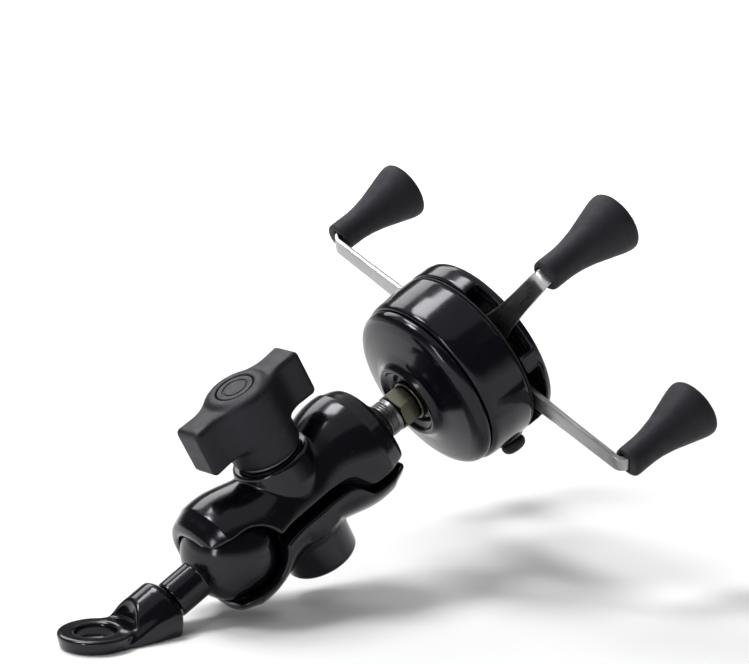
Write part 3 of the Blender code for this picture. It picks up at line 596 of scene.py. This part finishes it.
# ---- clamp arm ----------------------------------------------------------------------------
def parting_outline(level, far):
    """Outline in arm X and Z of what the other half of the clamp takes."""
    reach = HALF_ARM + DOME_R + 4.0
    low = level - PARTING - TONGUE
    right = [(HALF_ARM - 9.0, level), (HALF_ARM - 7.4, level - 0.8),
             (HALF_ARM - 4.6, low + 0.8), (HALF_ARM - 3.0, low), (reach, low)]
    left = [(-x, z) for x, z in reversed(right)]
    return eased(left + right + [(reach, far), (-reach, far)], 1.2, steps=3)


def shell_shape(sign):
    """One half of the clamp; sign is +1 for the knob's side."""
    to_bolt = between(arm_frame, bolt_frame)
    if sign > 0:
        waist_profile = [(0.0, 14.2), (9.9, 14.2), (10.5, 13.7), (11.7, 8.0), (12.0, 3.5),
                         (12.0, -6.0), (0.0, -6.0)]
        outline = parting_outline(PARTING, -40.0)
        bore = [(0.0, 16.0), (3.2, 16.0), (3.2, 6.2), (4.9, 6.2), (4.9, -6.0), (0.0, -6.0)]
    else:
        waist_profile = [(0.0, 6.0), (12.6, 6.0), (12.6, -5.0), (11.8, -7.8), (10.4, -9.4),
                         (9.9, -11.0), (9.7, -19.2), (9.1, -20.0), (0.0, -20.0)]
        outline = parting_outline(-PARTING, 40.0)
        bore = [(0.0, 6.0), (4.9, 6.0), (4.9, -6.2), (3.2, -6.2), (3.2, -15.4), (6.3, -15.4),
                (6.3, -24.0), (0.0, -24.0)]

    def shape(points):
        ends = np.minimum(ball(points, (-HALF_ARM, 0.0, 0.0), DOME_R),
                          ball(points, (HALF_ARM, 0.0, 0.0), DOME_R))
        on_bolt = to_bolt(points)
        spine = np.maximum(np.hypot(points[:, 1], points[:, 2]) - SPINE_R,
                           np.abs(points[:, 0]) - HALF_ARM)
        result = soft_min(ends, spine, SPINE_FILLET)
        waist = revolved(on_bolt, waist_profile, reach=0.5)
        result = soft_min(result, waist, COLLAR_FILLET)
        result = soft_max(result, -polygon(points[:, [0, 2]], outline), PARTING_EDGE)
        for end in (-1, 1):
            socket = ball(points, (end * HALF_ARM, 0.0, 0.0), SOCKET_R)
            result = soft_max(result, -socket, SOCKET_EDGE)
            result = soft_max(result, end * points[:, 0] - HALF_ARM - MOUTH, MOUTH_EDGE)
            inward = -end * (points[:, 0] - end * HALF_ARM)
            slot = np.where(inward > 0, np.hypot(inward, points[:, 2]),
                            np.abs(points[:, 2])) - WINDOW_R
            slot = soft_max(slot, WINDOW_INNER - end * points[:, 1], 1.0)
            result = soft_max(result, -slot, WINDOW_EDGE)
        return soft_max(result, -revolved(on_bolt, bore, reach=0.2), BORE_EDGE)

    return shape


upper = carved("arm_upper_shell_looks", arm_frame, shell_shape(1), (-30.0, -16.0, -6.0),
               (30.0, 16.0, 16.0), 0.36)
stand_for(upper, "arm_upper", "coated_black", COAT, "arm_upper_shell")
lower = carved("arm_lower_shell_looks", arm_frame, shell_shape(-1), (-30.0, -16.0, -21.0),
               (30.0, 16.0, 0.0), 0.36)
stand_for(lower, "arm_lower", "coated_black", COAT, "arm_lower_shell")


# ---- wing knob ----------------------------------------------------------------------------
def knob_shape(points):
    wing_low = 21.4
    quarter = [(9.0, 4.5), (12.5, 4.4), (KNOB_TIP - 1.0, 4.8), (KNOB_TIP, 4.1)]
    outline = quarter + [(x, -y) for x, y in reversed(quarter)]
    outline += [(-x, -y) for x, y in quarter] + [(-x, y) for x, y in reversed(quarter)]
    c, s = math.cos(KNOB_YAW), math.sin(KNOB_YAW)
    flat = points[:, :2] @ np.array([[c, -s], [s, c]])
    plan = soft_min(polygon(flat, eased(outline, 0.5, steps=2)),
                    np.hypot(points[:, 0], points[:, 1]) - 9.1, 4.5)
    wing = soft_max(plan, slab(points[:, 2], wing_low, KNOB_TOP), 1.8)
    hub = revolved(points, [(0.0, KNOB_HUB_TOP), (6.6, KNOB_HUB_TOP), (7.6, 35.35),
                            (8.6, 34.5), (8.9, 33.5), (9.1, 26.0), (9.4, 16.6), (9.1, 15.7),
                            (8.7, KNOB_BASE), (0.0, KNOB_BASE)], reach=0.7)
    shape = soft_min(wing, hub, 0.8)
    bore = revolved(points, [(0.0, 29.6), (3.3, 29.6), (3.3, 27.3), (4.7, 27.3), (4.7, 12.0),
                             (0.0, 12.0)], reach=0.1)
    shape = np.maximum(shape, -bore)
    recess = np.maximum(np.hypot(points[:, 0], points[:, 1]) - 5.3, 34.5 - points[:, 2])
    return soft_max(shape, -recess, 0.25)


knob = carved("knob_looks", bolt_frame, knob_shape, (-18.8, -10.5, 15.0), (18.8, 10.5, 36.0),
              0.32)
stand_for(knob, "knob", "knob_black", SATIN, "knob")

cap_top = KNOB_HUB_TOP - 0.1
cap_profile = [(0.0, cap_top), (3.0, cap_top), (3.15, cap_top - 0.25), (3.45, cap_top - 0.25),
               (3.6, cap_top), (4.85, cap_top), (5.0, cap_top - 0.15), (5.0, cap_top - 0.7),
               (0.0, cap_top - 0.7)]
cap = turned("knob_cap_looks", bolt_frame, cap_profile, reach=0.06)
stand_for(cap, "knob", "knob_black", SATIN, "knob_cap")

washer_profile = [(8.1, 15.2), (8.3, 15.0), (8.3, 14.6), (8.1, 14.4), (3.4, 14.4), (3.4, 15.2)]
washer = turned("knob_washer_looks", bolt_frame, washer_profile, closed=True, reach=0.1)
stand_for(washer, "knob", "stainless", STEEL, "knob_washer")


# ---- upper ball and stud ------------------------------------------------------------------
flat_height = math.sqrt(BALL_R ** 2 - NECK_R ** 2)
start_angle = math.degrees(math.atan2(flat_height, NECK_R))
ball_profile = [(0.0, 3.4), (3.08, 3.4), (3.08, flat_height)]
ball_profile += arc(BALL_R, start_angle, -90.0, 56)
ball_profile[-1] = (0.0, -BALL_R)
upper_ball = turned("upper_ball_looks", stud_frame, ball_profile, reach=0.3)
stand_for(upper_ball, "upper_joint", "knob_black", SATIN, "upper_ball")

stud_tip = STUD_LENGTH + 13.4


def thread_between(radius, root, low, high, pitch):
    """Profile points of thread crests and roots along a stud."""
    points = []
    for k in range(int((high - low) / pitch)):
        points += [(radius, low + k * pitch), (root, low + (k + 0.5) * pitch)]
    return points


upper_stud_profile = [(0.0, 3.7), (2.6, 3.7), (3.0, 4.1), (3.0, 11.9), (4.6, 11.9)]
upper_stud_profile += thread_between(5.0, 4.55, 12.3, 15.9, 0.75)
upper_stud_profile += [(4.9, 15.9), (4.6, 16.1), (3.0, 16.1)]
upper_stud_profile += thread_between(3.0, 2.55, 22.0, stud_tip - 1.0, 1.0)
upper_stud_profile += [(3.0, stud_tip - 0.5), (2.5, stud_tip), (0.0, stud_tip)]
upper_stud = turned("upper_stud_looks", stud_frame, upper_stud_profile, reach=0.2, sides=96)
stand_for(upper_stud, "upper_joint", "stainless", STEEL, "upper_stud")


def nut_shape(low, height):
    def shape(points):
        flats = np.full(len(points), -np.inf)
        for k in range(3):
            angle = math.radians(30 + 60 * k)
            flats = np.maximum(flats, np.abs(points[:, 0] * math.cos(angle)
                                             + points[:, 1] * math.sin(angle)) - 5.0)
        crown = revolved(points, [(0.0, low + height), (5.0, low + height),
                                  (5.9, low + height - 0.5), (5.9, low + 0.5), (5.0, low),
                                  (0.0, low)], reach=0.1)
        return np.maximum(soft_max(flats, crown, 0.15),
                          3.08 - np.hypot(points[:, 0], points[:, 1]))
    return shape


nut_low = STUD_LENGTH - 2.6
nut = carved("stud_lock_nut_looks", stud_frame, nut_shape(nut_low, 5.2), (-6, -6, nut_low),
             (6, 6, nut_low + 5.2), 0.16)
stand_for(nut, "upper_joint", "nut_metal", NUT, "stud_lock_nut")

spacer_profile = [(5.3, 5.3), (5.6, 5.0), (5.6, 3.2), (5.3, 2.9), (3.15, 2.9), (3.15, 5.3)]
spacer = turned("stud_spacer_looks", stud_frame,
                [(r, z + STUD_LENGTH) for r, z in spacer_profile], closed=True, reach=0.15)
stand_for(spacer, "upper_joint", "nut_metal", NUT, "stud_spacer")


# ---- holder drum --------------------------------------------------------------------------
rear_profile = [(23.4, 10.4), (23.7, 10.0), (23.7, 9.3), (23.3, 8.2), (22.2, 7.1), (20.4, 6.3),
                (17.0, 5.5), (13.6, 4.8), (11.8, 4.1), (10.9, 3.1), (10.5, 2.5), (9.9, 2.2),
                (9.3, 2.5), (8.6, 3.6), (7.4, 4.0), (6.6, 5.6), (3.2, 5.6), (3.2, 8.0),
                (14.0, 8.0), (20.6, 9.4), (21.2, 10.4)]
rear = turned("rear_cap_looks", holder_frame, rear_profile, closed=True, reach=0.6)
stand_for(rear, "holder", "drum_black", DRUM, "rear_cap")


def drum_shape(points):
    shape = revolved(points, [
        (24.4, 24.1), (BODY_R, 23.7), (BODY_R, 18.0), (24.6, 13.0), (24.4, 11.6), (23.9, 10.7),
        (21.9, 10.7), (21.9, 17.0), (3.06, 17.0), (3.06, 20.3), (4.6, 20.3), (4.6, 19.3),
        (21.9, 19.3), (21.9, 24.1)], closed=True, reach=0.35)
    for angle in SCREW_ANGLES:
        off = np.hypot(points[:, 0] - SCREW_RADIUS * math.cos(angle),
                       points[:, 1] - SCREW_RADIUS * math.sin(angle))
        post = np.maximum(off - 2.4, slab(points[:, 2], 18.0, 29.3))
        shape = np.maximum(np.minimum(shape, post),
                           -np.maximum(off - 1.27, 21.8 - points[:, 2]))
    outward = points[:, 0] * math.cos(PORT_ANGLE) + points[:, 1] * math.sin(PORT_ANGLE)
    across = points[:, 1] * math.cos(PORT_ANGLE) - points[:, 0] * math.sin(PORT_ANGLE)
    off_port = np.hypot(across, points[:, 2] - PORT_LEVEL)
    rim = soft_max(off_port - 4.1, slab(outward, 22.2, BODY_R + 0.3), 0.5)
    shape = soft_min(shape, rim, 0.7)
    port = np.maximum(off_port - PLUG_BORE_R, slab(outward, 19.0, 27.0))
    return soft_max(shape, -port, 0.4)


drum = carved("drum_body_looks", holder_frame, drum_shape, (-24.8, -24.8, 10.7),
              (24.8, 24.8, 29.3), 0.42)
stand_for(drum, "holder", "drum_black", DRUM, "drum_body")

seal_profile = [(24.1, 25.05), (24.4, 24.9), (24.4, 24.5), (24.1, 24.35), (22.3, 24.35),
                (22.3, 25.05)]
seal = turned("seal_ring_looks", holder_frame, seal_profile, closed=True, reach=0.12)
stand_for(seal, "holder", "post_rubber", RUBBER, "seal_ring")


def cover_shape(points):
    shape = revolved(points, [
        (24.0, 31.7), (24.5, 31.2), (BODY_R, 29.5), (BODY_R, 25.7), (24.4, 25.3), (22.0, 25.3),
        (22.0, 29.6), (6.0, 29.6), (6.0, 31.0), (21.0, 31.0), (21.3, 31.7)], closed=True,
        reach=0.35)
    spread = np.hypot(points[:, 0], points[:, 1])
    from_y = np.degrees(np.arctan2(np.abs(points[:, 0]), np.abs(points[:, 1])))
    sides = np.maximum(5.8 - from_y, from_y - 59.8) * math.pi / 180 * spread
    slot = np.maximum(soft_max(sides, points[:, 2] - 29.6, 0.6), 21.0 - spread)
    shape = soft_max(shape, -slot, 0.5)
    for angle in SCREW_ANGLES:
        off = np.hypot(points[:, 0] - SCREW_RADIUS * math.cos(angle),
                       points[:, 1] - SCREW_RADIUS * math.sin(angle))
        shape = np.maximum(shape, 1.4 - off)
        shape = np.maximum(shape, -np.maximum(off - 2.4, 30.2 - points[:, 2]))
    return shape


cover = carved("front_cover_looks", holder_frame, cover_shape, (-24.8, -24.8, 25.3),
               (24.8, 24.8, 31.7), 0.38)
stand_for(cover, "holder", "drum_black", DRUM, "front_cover")

pad_profile = [(0.0, 32.0)]
for groove in (5.0, 10.0, 15.0):
    pad_profile += [(groove - 0.5, 32.0), (groove - 0.3, 31.65), (groove + 0.3, 31.65),
                    (groove + 0.5, 32.0)]
pad_profile += [(20.0, 32.0), (20.6, 31.7), (20.6, 31.2), (0.0, 31.2)]
pad = turned("phone_pad_looks", holder_frame, pad_profile, reach=0.15)
stand_for(pad, "holder", "post_rubber", RUBBER, "phone_pad")

port_frame = holder_frame @ Matrix.Rotation(PORT_ANGLE, 4, "Z") @ Matrix.Translation(
    (BODY_R * MM, 0.0, PORT_LEVEL * MM)) @ Matrix.Rotation(math.pi / 2, 4, "Y")
port_profile = [(0.0, 3.6), (1.9, 3.5), (2.9, 3.0), (3.4, 2.2), (3.5, 1.2), (3.2, 0.7),
                (2.7, 0.4), (2.7, -2.6), (2.4, -2.9), (0.0, -2.9)]
port = turned("port_cap_looks", port_frame, port_profile, reach=0.4, sides=72)
stand_for(port, "port", "post_rubber", RUBBER, "port_cap")


# ---- scissor grip -------------------------------------------------------------------------
def bar_half_width(x):
    """Half the width of a bar's strip at a distance from the pivot, before its bend."""
    if x < BAR_EYE_END:
        return math.sqrt(BAR_EYE_R ** 2 - x * x)
    places = [BAR_EYE_END, 25.0, 32.0, 38.0, GRIP_REACH - BAR_BEND_R]
    widths = [math.sqrt(BAR_EYE_R ** 2 - BAR_EYE_END ** 2), 3.3, 3.0, 2.8, BAR_END_HALF]
    return float(np.interp(x, places, widths))


def bar_sections(level):
    """Stations of half a bar: place along it, height, slope angle and half width."""
    start = GRIP_REACH - BAR_BEND_R
    rows = [(x, level, 0.0, bar_half_width(x)) for x in np.linspace(0.0, 9.0, 13)]
    rows += [(x, level, 0.0, bar_half_width(x)) for x in np.linspace(10.5, start - 1.5, 28)]
    for k in range(9):
        angle = math.pi / 2 * k / 8
        narrow = BAR_END_HALF + (TONGUE_HALF - BAR_END_HALF) * min(1.0, k / 4)
        rows.append((start + BAR_BEND_R * math.sin(angle),
                     level + BAR_BEND_R * (1 - math.cos(angle)), angle, narrow))
    rows += [(GRIP_REACH, level + height, math.pi / 2, TONGUE_HALF)
             for height in (6.0, 11.0, 16.0)]
    rows.append((GRIP_REACH, level + 16.7, math.pi / 2, 1.9))
    rows.append((GRIP_REACH, level + 17.0, math.pi / 2, 1.4))
    return rows


def strip_ring(half_width):
    """A strip's cross-section with rounded long edges: offsets across and through."""
    edge = 0.32
    thick = BAR_THICK / 2
    ring = []
    for across, through, start in ((1, 1, 0), (-1, 1, 90), (-1, -1, 180), (1, -1, 270)):
        for k in range(4):
            angle = math.radians(start + 30 * k)
            ring.append((across * (half_width - edge) + edge * math.cos(angle),
                         through * (thick - edge) + edge * math.sin(angle)))
    return ring


def build_bar(letter):
    level = BAR_LEVELS[letter]
    half = bar_sections(level)
    rows = [(-x, z, -angle, width) for x, z, angle, width in reversed(half[1:])] + half
    bm = bmesh.new()
    rings = []
    for x, z, angle, width in rows:
        ring = []
        for across, through in strip_ring(width):
            ring.append(bm.verts.new(Vector((x - through * math.sin(angle), across,
                                             z + through * math.cos(angle))) * MM))
        rings.append(ring)
    count = len(rings[0])
    for first, second in zip(rings, rings[1:]):
        for k in range(count):
            after = (k + 1) % count
            bm.faces.new((first[k], first[after], second[after], second[k]))
    bm.faces.new(rings[0])
    bm.faces.new(rings[-1])
    bmesh.ops.recalc_face_normals(bm, faces=bm.faces)
    mesh = bpy.data.meshes.new(f"grip_bar_{letter}")
    bm.to_mesh(mesh)
    bm.free()
    place = bar_frames[letter]
    bar = finished(f"grip_bar_{letter}_looks", mesh, place)
    cutter = turned(f"pivot_hole_{letter}", place, [
        (0.0, level - 4), (PIN_BORE_R, level - 4), (PIN_BORE_R, level + 4),
        (0.0, level + 4)], reach=0.01, sides=72)
    hole = bar.modifiers.new("pivot_hole", "BOOLEAN")
    hole.operation = "DIFFERENCE"
    hole.solver = "EXACT"
    hole.object = cutter
    apply_modifiers(bar)
    bpy.data.objects.remove(cutter, do_unlink=True)
    bar.data.set_sharp_from_angle(angle=math.radians(50))
    return stand_for(bar, f"bar_{letter}", "stainless", BARS[letter],
                     f"grip_bar_{letter}")


def apply_modifiers(obj):
    bpy.context.view_layer.update()
    evaluated = obj.evaluated_get(bpy.context.evaluated_depsgraph_get())
    mesh = bpy.data.meshes.new_from_object(evaluated)
    obj.modifiers.clear()
    obj.data = mesh


for letter in bar_frames:
    build_bar(letter)


def post_shape(points):
    shape = revolved(points, [(0.0, POST_TOP), (6.2, 26.1), (7.8, 25.6), (8.3, 24.7), (8.0, 22.8),
                              (6.6, 18.0), (5.3, 13.6), (4.5, 9.6), (4.2, 6.6), (4.2, 0.6),
                              (3.8, 0.0), (0.0, 0.0)], reach=1.0)
    across = np.abs(points[:, 1]) - 2.7
    tongue = np.maximum(np.maximum(np.abs(points[:, 0]) - 1.0, across), points[:, 2] - 15.9)
    entry = np.maximum(np.maximum(slab(points[:, 0], -2.1, 1.0), across), points[:, 2] - 1.9)
    return soft_max(shape, -np.minimum(tongue, entry), 0.4)


def build_post(name, letter, heading):
    root = Matrix.Translation(Vector((GRIP_REACH * math.cos(heading),
                                      GRIP_REACH * math.sin(heading),
                                      BAR_LEVELS[letter] + POST_RISE)) * MM)
    place = holder_frame @ root @ Matrix.Rotation(heading, 4, "Z")
    post = carved(name + "_looks", place, post_shape, (-8.4, -8.4, 0.0), (8.4, 8.4, POST_TOP),
                  0.36)
    stand_for(post, f"bar_{letter}", "post_rubber", RUBBER, name)


build_post("post_upper_left", "a", heading_a)
build_post("post_lower_right", "a", heading_a + math.pi)
build_post("post_lower_left", "b", heading_b)
build_post("post_upper_right", "b", heading_b + math.pi)


# ---- the grip's torsion spring ------------------------------------------------------------
def wire(name, place, path, radius, sides=12):
    """A round wire along a path."""
    bm = bmesh.new()
    rings = []
    across = (path[1] - path[0]).orthogonal()
    for index, here in enumerate(path):
        ahead = (path[min(index + 1, len(path) - 1)] - path[max(index - 1, 0)]).normalized()
        across = (across - ahead * across.dot(ahead)).normalized()
        up = ahead.cross(across)
        turns = [2 * math.pi * k / sides for k in range(sides)]
        rings.append([bm.verts.new((here + radius * (math.cos(turn) * across
                                                     + math.sin(turn) * up)) * MM)
                      for turn in turns])
    for first, second in zip(rings, rings[1:]):
        for k in range(sides):
            after = (k + 1) % sides
            bm.faces.new((first[k], first[after], second[after], second[k]))
    bm.faces.new(rings[0])
    bm.faces.new(rings[-1])
    mesh = bpy.data.meshes.new(name)
    bm.to_mesh(mesh)
    bm.free()
    obj = finished(name, mesh, place)
    obj.data.set_sharp_from_angle(angle=math.radians(60))
    return obj


def around(radius, angle, level):
    return Vector((radius * math.cos(angle), radius * math.sin(angle), level))


def build_grip_spring():
    """A coil on the drum, and two legs that bend from it to their bars."""
    coil_r, wire_r, leg_r = 6.2, 0.55, 17.0
    low, high = 20.6, 24.9
    bar_clearance = 4.95
    offset = math.asin(bar_clearance / leg_r)
    leg_a = heading_a - offset
    leg_b = heading_b + offset - 2 * math.pi
    sweep = leg_a - leg_b + 4 * math.pi
    stations = 144
    coil_path = [around(coil_r, leg_b + sweep * k / stations, low + (high - low) * k / stations)
                 for k in range(stations + 1)]
    coil = wire("grip_spring_coil", holder_frame, coil_path, wire_r)
    stand_for(coil, "holder", "spring_steel", SPRING, "grip_spring")
    for letter, angle, level in (("a", leg_a, high), ("b", leg_b, low)):
        path = [around(coil_r - 0.3, angle, level), around(leg_r, angle, level),
                around(leg_r, angle, BAR_LEVELS[letter])]
        straight = [path[0].lerp(path[1], k / 12) for k in range(11)]
        bend = eased(path, 1.4, closed=False, steps=6)[1:]
        leg = wire(f"grip_spring_leg_{letter}", holder_frame, straight + bend, wire_r)
        leg.data.materials.append(SPRING)
        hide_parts("grip_spring")
        ends = [holder_frame @ (around(radius, angle, level) * MM)
                for radius in (coil_r, leg_r - 1.5)]
        tuple(ends[0])
        tuple(ends[1])
        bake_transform(leg)


build_grip_spring()

# ---- CAD nodes that stay ------------------------------------------------------------------
KEPT = {"clamp_bolt": STEEL, "shell_spring": SPRING, "knob_insert": BRASS,
        "stud_inner_nut": STEEL, "pivot_pin": STEEL, "pivot_clip": SPRING,
        "cover_screw_1": STEEL, "cover_screw_2": STEEL, "cover_screw_3": STEEL,
        "cover_screw_4": STEEL}
for node, material in KEPT.items():
    NODES[node].data.materials.clear()
    NODES[node].data.materials.append(material)


# ---- floor, light and camera --------------------------------------------------------------
def plane(name, size, place):
    bm = bmesh.new()
    bmesh.ops.create_grid(bm, x_segments=1, y_segments=1, size=size)
    mesh = bpy.data.meshes.new(name)
    bm.to_mesh(mesh)
    bm.free()
    obj = bpy.data.objects.new(name, mesh)
    bpy.context.scene.collection.objects.link(obj)
    obj.matrix_world = place
    return obj


def build_stage():
    floor_half = 6.0
    floor_level = CAD_BOX[0][2] - 0.0002
    floor = plane("studio_floor", floor_half, Matrix.Translation((0.0, 0.0, floor_level)))
    graph = Graph("floor_painted_glow", Roughness=0.9, Specular_IOR_Level=0.1)
    graph.colour(graph.noise(300.0, 2.0), (0.90, 0.90, 0.90), (0.93, 0.93, 0.93))
    # Painted light: the floor glows away from the object, so its edges stay white and the shadow
    # dark.
    graph.shader.inputs["Emission Color"].default_value = (1.0, 1.0, 1.0, 1.0)
    away = graph.tree.nodes.new("ShaderNodeVectorMath")
    away.operation = "LENGTH"
    graph.link(graph.place, away.inputs["Vector"])
    glow_start, glow_full, glow_strength = 0.22, 0.9, 0.7
    glow = graph.ramp(away.outputs["Value"], glow_start, glow_full, 0.0, glow_strength)
    graph.link(glow, graph.shader.inputs["Emission Strength"])
    floor.data.materials.append(graph.material)

    world = bpy.data.worlds.new("studio")
    world.use_nodes = True
    background = world.node_tree.nodes["Background"]
    background.inputs["Color"].default_value = (1.0, 1.0, 1.0, 1.0)
    # A pale band at the horizon, and a dark sky above it for deep blacks.
    nodes, links = world.node_tree.nodes, world.node_tree.links
    apart = nodes.new("ShaderNodeSeparateXYZ")
    links.new(nodes.new("ShaderNodeTexCoord").outputs["Generated"], apart.inputs["Vector"])
    rise = nodes.new("ShaderNodeMapRange")
    rise.inputs["From Min"].default_value = 0.02
    rise.inputs["From Max"].default_value = 0.20
    rise.inputs["To Min"].default_value = 0.85
    rise.inputs["To Max"].default_value = 0.08
    links.new(apart.outputs["Z"], rise.inputs["Value"])
    links.new(rise.outputs["Result"], background.inputs["Strength"])
    bpy.context.scene.world = world
    bpy.context.scene.view_settings.view_transform = "Standard"


def softbox(name, place, target, size, power):
    """A rectangular light that faces a point."""
    light = bpy.data.lights.new(name, "AREA")
    light.shape = "RECTANGLE"
    light.size, light.size_y = size
    light.energy = power
    obj = bpy.data.objects.new(name, light)
    bpy.context.scene.collection.objects.link(obj)
    obj.location = place
    direction = Vector(target) - Vector(place)
    obj.rotation_euler = direction.to_track_quat("-Z", "Y").to_euler()


def build_camera():
    camera = bpy.data.cameras.new("camera")
    camera.lens = 134.17
    camera.sensor_width = 36.0
    camera.clip_start = 0.01
    obj = bpy.data.objects.new("camera", camera)
    bpy.context.scene.collection.objects.link(obj)
    obj.location = (-0.31293, -0.57905, 0.23078)
    obj.rotation_euler = Vector((0.5502, 0.8039, -0.2259)).to_track_quat("-Z", "Y").to_euler()
    bpy.context.scene.camera = obj


build_stage()
middle = (0.06, 0.0, 0.03)
softbox("ceiling", (0.5, 1.0, 2.4), (0.5, 1.0, 0.0), (5.0, 5.0), 36.0)
softbox("top_light", (-0.10, 0.45, 1.25), middle, (0.45, 0.45), 9.0)
softbox("back_light", (0.20, 1.25, 0.95), middle, (0.9, 0.6), 6.0)
softbox("key_light", (-0.45, 0.25, 0.85), middle, (0.22, 0.22), 3.6)
softbox("side_light", (-0.80, -0.35, 0.30), middle, (0.14, 0.5), 2.4)
build_camera()
